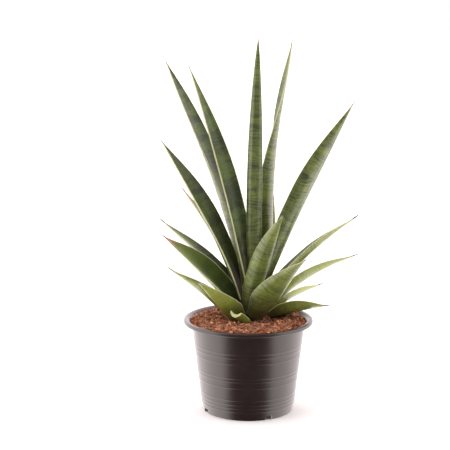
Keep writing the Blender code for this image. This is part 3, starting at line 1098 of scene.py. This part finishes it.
@dataclass
class SnakeLeaf:
    """One leaf: a channelled blade that leans out of the crown and tapers to a dry awn.

    base is in mm from the crown. heading is the angle from +X toward +Y that the leaf leans to.
    lean and turn run evenly from the base to the tip, in degrees. neck is the base's share of
    the width, taper the share of the length that narrows toward the tip, and blunt the power of
    that narrowing. cut is how many mm of the tip were cut off. young is 0 for dark mature green
    and 1 for yellow-green, dry is how far the margin by the tip has withered, and hook bends
    the awn inward, in mm.
    """

    name: str
    base: tuple[float, float, float]
    heading: float
    lean: tuple[float, float]
    length: float
    width: float
    turn: tuple[float, float] = (0.0, 0.0)
    neck: float = 0.70
    taper: float = 0.55
    blunt: float = 1.10
    cut: float = 0.0
    young: float = 0.3
    dry: float = 0.0
    hook: float = 0.6
    crown: tuple[float, float, float] = (3.5, 6.0, 83.1)
    awn: float = 4.0
    awn_width: float = 1.0
    awn_point: float = 0.35
    margin: float = 0.7
    neck_share: float = 0.25
    hook_reach: float = 12.0
    margin_round: float = 0.22
    flute_depth: float = 0.05
    across: int = 26
    column_crowding: float = 0.93
    spacing: float = 1.5
    crowding: float = 1.25

    @property
    def end(self) -> LeafEnd:
        """Whether the leaf was cut."""
        return LeafEnd.CUT if self.cut else LeafEnd.AWN

    def stations(self) -> np.ndarray:
        """Shares of the length, about spacing apart and closer together toward the tip.

        Returns:
            Shares from 0 at the base to 1 at the tip.
        """
        count = max(24, round(self.length / self.spacing))
        return 1 - (1 - np.linspace(0, 1, count)) ** self.crowding

    def spine(self, s: np.ndarray) -> tuple[np.ndarray, np.ndarray, np.ndarray]:
        """Centre line, inward and across directions at each station.

        The lean runs evenly from base to tip, the centre is the running sum of the direction
        along the leaf, and inward and across are turned about it by the turn.

        Args:
            s: shares of the length.

        Returns:
            Three arrays of points or directions, in mm.
        """
        lean = np.radians(self.lean[0] + (self.lean[1] - self.lean[0]) * s)
        heading = math.radians(self.heading)
        out_x, out_y = math.cos(heading), math.sin(heading)
        along = np.stack([np.sin(lean) * out_x, np.sin(lean) * out_y, np.cos(lean)], axis=1)
        steps = np.diff(s)[:, None] * self.length * (along[1:] + along[:-1]) / 2
        start = np.array([self.base], float) + self.crown
        centre = np.concatenate([start, start + np.cumsum(steps, axis=0)])
        inward = np.stack([-np.cos(lean) * out_x, -np.cos(lean) * out_y, np.sin(lean)], axis=1)
        across = np.cross(along, inward)
        turn = np.radians(self.turn[0] + (self.turn[1] - self.turn[0]) * s)[:, None]
        inward = inward * np.cos(turn) + across * np.sin(turn)
        if self.end is LeafEnd.AWN:
            close = np.clip(1 - (1 - s) * self.length / self.hook_reach, 0, 1)[:, None]
            centre = centre + self.hook * close**2 * inward
        return centre, inward, np.cross(along, inward)

    def widths(self, s: np.ndarray) -> np.ndarray:
        """Width: a sine taper out of the awn, a narrow neck, and an awn that ends in a point.

        Args:
            s: shares of the length.

        Returns:
            The width at each share, in mm.
        """
        tip = (1 - s) * self.length + self.cut
        grown = np.clip((tip - self.awn) / (self.taper * self.length), 0, 1)
        width = self.width * np.sin(math.pi / 2 * grown) ** self.blunt
        thin = self.awn_point + (self.awn_width - self.awn_point) * np.clip(tip / self.awn, 0, 1)
        return (width + thin) * (self.neck + (1 - self.neck) * smooth(s / self.neck_share))

    def section(self, s: np.ndarray) -> dict[str, np.ndarray]:
        """Rings of points round the blade with their place on the leaf.

        The outer face is an arc of radius r = half width / sin(hollow), at the angle a =
        hollow x u; the inner face stands off it by middle x sqrt(1 - u squared) + margin, and
        one more point rounds each margin at half its thickness.

        Args:
            s: shares of the length.

        Returns:
            points, and the facts that the leaf's finish reads, one row for each station.
        """
        centre, inward, across = self.spine(s)
        form = BLADE_FORMS[self.end]
        hollow = np.radians(np.interp(s, form.hollow_at, form.hollow_deg))
        middle = np.interp(s, form.thick_at, form.thick)
        width = self.widths(s)
        radius = width / 2 / np.sin(hollow)
        margin = np.minimum(self.margin, 0.6 * width)
        edge = np.clip(self.margin_round / (width / 2), 0, 0.25)[:, None]
        # The columns crowd toward the margins, as a sine does toward its crest.
        u = np.sin(np.linspace(-1, 1, self.across) * math.pi / 2 * self.column_crowding)
        u = u / u[-1]
        face = u[None] * (1 - edge)
        relief = self.relief(face, s)

        def shell(share: np.ndarray, depth: np.ndarray) -> np.ndarray:
            """Points at a share of the half width, standing depth in from the outer arc.

            Args:
                share: shares of the half width, one row for each station.
                depth: distances in from the arc in mm, shaped to go with share.

            Returns:
                The points in mm.
            """
            angle = hollow[:, None] * share
            side = (radius[:, None] * np.sin(angle))[..., None]
            lift = (radius[:, None] * (1 - np.cos(angle)))[..., None]
            normal = (
                np.cos(angle)[..., None] * inward[:, None]
                - np.sin(angle)[..., None] * across[:, None]
            )
            flat = centre[:, None] + side * across[:, None] + lift * inward[:, None]
            return flat + depth[..., None] * normal

        body = middle[:, None] * np.sqrt(np.clip(1 - face**2, 0, 1)) + margin[:, None]
        outer = shell(face, relief)
        inner = shell(face[:, ::-1], body[:, ::-1] - relief[:, ::-1])
        ones = np.ones((len(s), 1))
        right = shell(ones, margin[:, None] / 2)
        left = shell(-ones, margin[:, None] / 2)
        points = np.concatenate([outer, right, inner, left], axis=1)
        share = np.concatenate([face, ones, face[:, ::-1], -ones], axis=1)
        half = (radius * hollow)[:, None]
        inner_side = np.concatenate(
            [np.zeros_like(face), 0.5 * ones, np.ones_like(face), 0.5 * ones], axis=1
        )
        wide = np.ones_like(share)
        return {
            "points": points,
            "across_mm": share * half,
            "edge_mm": (1 - np.abs(share)) * half,
            # A cut stub counts as further along, which keeps the painted foot shade off it.
            "along_mm": (s * self.length + 0.6 * self.cut)[:, None] * wide,
            "tip_mm": ((1 - s) * self.length + 3 * self.cut)[:, None] * wide,
            "inner_side": inner_side,
        }

    def relief(self, face: np.ndarray, s: np.ndarray) -> np.ndarray:
        """Shallow lengthwise flutes and slow waves, zero at the margins.

        Args:
            face: shares of the half width, one row for each station.
            s: shares of the length.

        Returns:
            How far the faces stand out of their arcs, in mm.
        """
        rng = np.random.default_rng(hash_text(self.name))
        fade = np.clip(1 - face**2, 0, 1)
        along = (s * self.length)[:, None]
        flutes = sum(
            np.cos(k * math.pi * face + rng.uniform(0, 6.28) + along / rng.uniform(60, 140))
            for k in (2, 3, 5)
        )
        waves = ripples(face * self.width / 2, along + 0 * face, rng, 14, 26.0)
        return self.flute_depth * fade * (flutes + 1.6 * waves)

    def build(self, skin: bpy.types.Material, flesh: bpy.types.Material) -> bpy.types.Object:
        """The closed blade, dressed, riding on the root and standing for its CAD node.

        Args:
            skin: the leaf's own material.
            flesh: the material of a cut end.

        Returns:
            The leaf.
        """
        s = self.stations()
        parts = self.section(s)
        around = parts["points"].shape[1]
        k = self.across
        j = np.arange(k - 1)
        start_quads = np.stack([j, j + 1, 2 * k - j - 1, 2 * k - j], axis=1)
        start_tris = np.array([(k - 1, k, k + 1), (2 * k, 2 * k + 1, 0)])
        last = (len(s) - 1) * around
        walls = grid_quads(len(s), around)[:, ::-1]
        tip_quads, tip_tris = last + start_quads[:, ::-1], last + start_tris[:, ::-1]
        faces = [walls, start_quads, start_tris, tip_quads, tip_tris]
        facts = {key: value for key, value in parts.items() if key != "points"}
        count = parts["points"].shape[0] * around
        seed = hash_text(self.name) % 997 / 3.0
        for key, value in (("seed", seed), ("young", self.young), ("dry", self.dry)):
            facts[key] = np.full(count, value)
        points = parts["points"].reshape(-1, 3)
        leaf = make_piece("grown_" + self.name, points, faces, facts, sharp_deg=75)
        leaf.data.materials.append(skin)
        if self.end is LeafEnd.CUT:
            leaf.data.materials.append(flesh)
            index = np.zeros(len(leaf.data.polygons), np.int32)
            index[-len(tip_quads) - len(tip_tris) :] = 1
            leaf.data.polygons.foreach_set("material_index", index)
        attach(leaf, "root")
        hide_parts(self.name)
        return leaf


LEAVES = (
    SnakeLeaf("leaf_tall_left_outer", (-8, 12.5, 23), 163, (12, 27), 229, 25, (25, -35),
              0.50, 0.55, 0.95, young=0.15),
    SnakeLeaf("leaf_tall_left_inner", (-3.5, 1, 27), 172, (8, 22), 217, 19, (-38, -45),
              0.50, young=0.3),
    SnakeLeaf("leaf_tall_centre", (1, -5, 31), 340, (0, 2), 230, 13.6, (-75, -75),
              0.60, 0.60, 0.75, young=0.15),
    SnakeLeaf("leaf_tall_right_inner", (8.9, 7.35, 24.2), 35, (5.4, 11.6), 236, 25.5, (-118, 6),
              0.48, 0.48, young=0.3),
    SnakeLeaf("leaf_tall_right_outer", (8, -3, 19.5), 355, (19, 30), 203, 24, (-36, -50),
              0.55, 0.46, young=0.2),
    SnakeLeaf("leaf_mid_left", (-12.0, -6.4, 20.6), 172, (17, 36), 166, 22.5, (-10, -40),
              0.50, young=0.0),
    SnakeLeaf("leaf_mid_right", (11.9, -0.4, 15.1), 8, (38.3, 57), 120, 25, (-6, -16),
              0.55, 0.45, young=0.6),
    SnakeLeaf("leaf_front_upright", (-5, -13.3, 8), 308, (14, 41), 116, 17, (-45, -45),
              0.66, young=0.35),
    SnakeLeaf("leaf_front_right", (3.2, -16.7, 4), 308, (36, 56), 98, 26.5, (-28, -28),
              0.66, 0.80, young=0.32),
    SnakeLeaf("leaf_front_left", (-15.5, -11.5, 0.5), 220, (40, 52), 66, 27, (20, 20),
              0.75, 0.90, young=0.8),
    SnakeLeaf("leaf_low_left_upper", (-10, 13, 18), 160, (46, 54), 108, 20, (0, 0),
              0.55, young=0.3),
    SnakeLeaf("leaf_low_left", (-14, -2.5, 8), 180, (36, 52), 101, 27, (-20, -32),
              0.66, young=0.9, dry=1.0),
    SnakeLeaf("leaf_bottom_left", (-22.5, 6, 1.4), 182, (45, 56), 73, 26, (30, 30),
              0.70, 0.80, young=0.65),
    SnakeLeaf("leaf_low_right", (13.5, 2.5, 5), 5, (43, 73), 103, 29, (-12, -22), young=0.8),
    SnakeLeaf("leaf_bottom_right_rear", (14.5, 14.3, 0.3), 30, (62, 79), 68, 24, (-18, -30),
              0.65, young=1.0),
    SnakeLeaf("leaf_bottom_right", (18.5, -1.5, 0.5), 345, (66, 82), 58, 26, (-20, -32),
              0.70, young=0.6),
    SnakeLeaf("leaf_back_left", (-7, 24, 22.5), 145, (32, 46), 118, 14, (0, 0),
              0.60, young=0.5, dry=1.0),
    SnakeLeaf("leaf_back_right", (12.5, 20.5, 14), 60, (13, 8), 100, 15, (0, 0), 0.60, young=1.0),
    SnakeLeaf("leaf_rear_low_right", (0.5, 20, 0.3), 95, (52, 64), 62, 18, (0, 0), 0.70, young=0.6),
    SnakeLeaf("leaf_rear_low_left", (-13.5, 17, 0.3), 130, (48, 60), 56, 18, (0, 0),
              0.70, young=0.6),
    SnakeLeaf("leaf_stub", (-8, -22, 0.2), 228, (50, 58), 16, 13, (0, 0),
              0.90, 0.20, 1.10, 60.0, young=0.8),
)  # fmt: skip


# ---------------------------------------------------------------- the crown


@dataclass
class SheathedStem:
    """The short stem in the middle of the rosette, wrapped in old papery leaf sheaths."""

    middle: tuple[float, float] = (3.0, 7.0)
    foot: float = 83.4
    radii: tuple[float, ...] = (12.5, 12.0, 10.5, 8.5, 6.0, 3.5)
    heights: tuple[float, ...] = (0.0, 6.0, 13.0, 20.0, 27.0, 32.0)
    lobes: int = 5
    lobe_depth: float = 0.10
    twist_deg: float = 50.0
    rib_depth: float = 0.25
    rib_mm: float = 3.0
    rib_waves: int = 30
    rib_stretch: float = 12.0
    rib_full_radius: float = 6.0
    point: float = 1.0
    rings: int = 40
    around: int = 96
    seed: int = 17

    def build(self) -> bpy.types.Object:
        """The lobed stem: radius(height) x (1 + lobe depth x cosine) and lengthwise ribs.

        The lobes turn by twist_deg from the foot to the top, as the leaf bases do.

        Returns:
            The stem, which stands for crown_stem.
        """
        rng = np.random.default_rng(self.seed)
        up = np.linspace(0, self.heights[-1], self.rings)[:, None]
        angle = (np.arange(self.around) * 2 * math.pi / self.around)[None]
        turn = angle + math.radians(self.twist_deg) * up / self.heights[-1]
        plain = np.interp(up, self.heights, self.radii)
        lobed = plain * (1 + self.lobe_depth * np.cos(self.lobes * turn))
        ribs = ripples(turn * plain, up / self.rib_stretch, rng, self.rib_waves, self.rib_mm)
        ribs = self.rib_depth * ribs
        r = lobed + ribs * np.minimum(1, plain / self.rib_full_radius)
        x = self.middle[0] + r * np.cos(angle)
        y = self.middle[1] + r * np.sin(angle)
        z = self.foot + up + 0 * angle
        points = np.stack([x, y, z], axis=-1).reshape(-1, 3)
        top = self.foot + self.heights[-1] + self.point
        points = np.concatenate([points, [(*self.middle, self.foot), (*self.middle, top)]])
        stem = make_piece("sheathed_stem", points, capped_tube(self.rings, self.around))
        stem.data.materials.append(SheathAndCrownShade().material())
        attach(stem, "root")
        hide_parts("crown_stem")
        return stem


# ---------------------------------------------------------------- studio


@dataclass
class Studio:
    """A pale table, a surround with a tall soft box on either side, and the camera.

    The boxes are bands of the surround, so they are far enough away to light every leaf alike.
    Their edges are cosines of the angle from the front, and top_edges are sines of the angle
    above the table. camera_at is in metres.
    """

    camera_at: tuple[float, float, float] = (-0.0215, -1.15, 0.38)
    camera_down_deg: float = 10.2
    lens_mm: float = 102.16
    sensor_mm: float = 36.0
    table_half: float = 12000.0
    table_drop: float = 0.02
    box_front_edge: float = 0.62
    box_back_edge: float = -0.62
    box_softness: float = 0.14
    box_light: float = 3.6
    front_light: float = 0.12
    back_light: float = 2.8
    top_light: float = 1.3
    top_edges: tuple[float, float] = (0.75, 0.95)
    left_gain: float = 1.16
    right_gain: float = 0.97
    tint: str = "#FFF6F6"

    def floor(self) -> None:
        """A wide matt table."""
        half, z = self.table_half, -self.table_drop
        points = np.array([(-half, -half, z), (half, -half, z), (half, half, z), (-half, half, z)])
        table = make_piece("studio_table", points, [np.array([[0, 1, 2, 3]])])
        table.data.materials.append(StudioPaper().material())
        table.visible_glossy = False

    def side_light(self, tree: bpy.types.NodeTree) -> bpy.types.NodeSocket:
        """Strength of the light from each direction: boxes at the sides, dim in front.

        Args:
            tree: the surround's node tree.

        Returns:
            The strength's socket.
        """
        facing = add_node(tree, "TexCoord").outputs["Generated"]
        parts = add_node(tree, "SeparateXYZ", {0: facing})
        flat = add_node(tree, "CombineXYZ", {0: parts.outputs[0], 1: parts.outputs[1]})
        unit = add_node(tree, "VectorMath", {0: flat.outputs[0]}, operation="NORMALIZE")
        ahead = {0: unit.outputs[0], 1: (0, -1, 0)}
        ahead = add_node(tree, "VectorMath", ahead, operation="DOT_PRODUCT").outputs["Value"]
        front, back, soft = self.box_front_edge, self.box_back_edge, self.box_softness
        steps = (
            (ahead, back - soft, back + soft, self.back_light, self.box_light),
            (ahead, front - soft, front + soft, 0.0, 1.0),
            (parts.outputs[2], *self.top_edges, 0.0, 1.0),
            (parts.outputs[0], -0.5, 0.5, self.left_gain, self.right_gain),
        )
        smooth_step = {"interpolation_type": "SMOOTHSTEP"}
        sides, forward, above, gains = (
            add_node(tree, "MapRange", dict(enumerate(step)), **smooth_step).outputs[0]
            for step in steps
        )
        light = add_node(tree, "Math", {0: sides, 1: gains}, operation="MULTIPLY").outputs[0]
        for share, level in ((forward, self.front_light), (above, self.top_light)):
            mixed = {0: share, 2: light, 3: level}
            light = add_node(tree, "Mix", mixed, data_type="FLOAT").outputs[0]
        return light

    def surround(self) -> None:
        """White all round for the eye; as light, bright behind the plant and dim in front."""
        world = bpy.data.worlds.new("studio_surround")
        world.use_nodes = True
        tree = world.node_tree
        tree.nodes.clear()
        seen = add_node(tree, "LightPath").outputs["Is Camera Ray"]
        share = {0: seen, 2: self.side_light(tree), 3: 1.0}
        strength = add_node(tree, "Mix", share, data_type="FLOAT").outputs[0]
        tints = {0: seen, 6: linear(self.tint), 7: (1.0, 1.0, 1.0, 1.0)}
        colour = add_node(tree, "Mix", tints, data_type="RGBA").outputs[2]
        glow = add_node(tree, "Background", {"Color": colour, "Strength": strength})
        add_node(tree, "OutputWorld", {"Surface": glow.outputs[0]})
        bpy.context.scene.world = world

    def camera(self) -> None:
        """A long lens, a little above the plant and looking slightly down."""
        data = bpy.data.cameras.new("studio_camera")
        data.lens, data.sensor_width = self.lens_mm, self.sensor_mm
        camera = bpy.data.objects.new("studio_camera", data)
        camera.location = self.camera_at
        camera.rotation_euler = (math.radians(90 - self.camera_down_deg), 0, 0)
        bpy.context.scene.collection.objects.link(camera)
        bpy.context.scene.camera = camera

    def build(self) -> None:
        """Table, surround and camera."""
        self.floor()
        self.surround()
        self.camera()
        bpy.context.scene.view_settings.view_transform = "Standard"


def main() -> None:
    """Builds the pot, the coir, the stem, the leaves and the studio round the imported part."""
    logging.basicConfig(level=logging.INFO, format="%(name)s: %(message)s")
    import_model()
    pot = NurseryPot()
    pieces = [pot.build(), *CoirBed(pot).build(), SheathedStem().build()]
    skin, flesh = WaxyLeaf().material(), CutLeafFlesh().material()
    pieces += [leaf.build(skin, flesh) for leaf in LEAVES]
    for piece in pieces:
        LOG.info("%s: %d faces", piece.name, len(piece.data.polygons))
    Studio().build()
    bpy.context.view_layer.update()


if __name__ == "__main__":
    main()
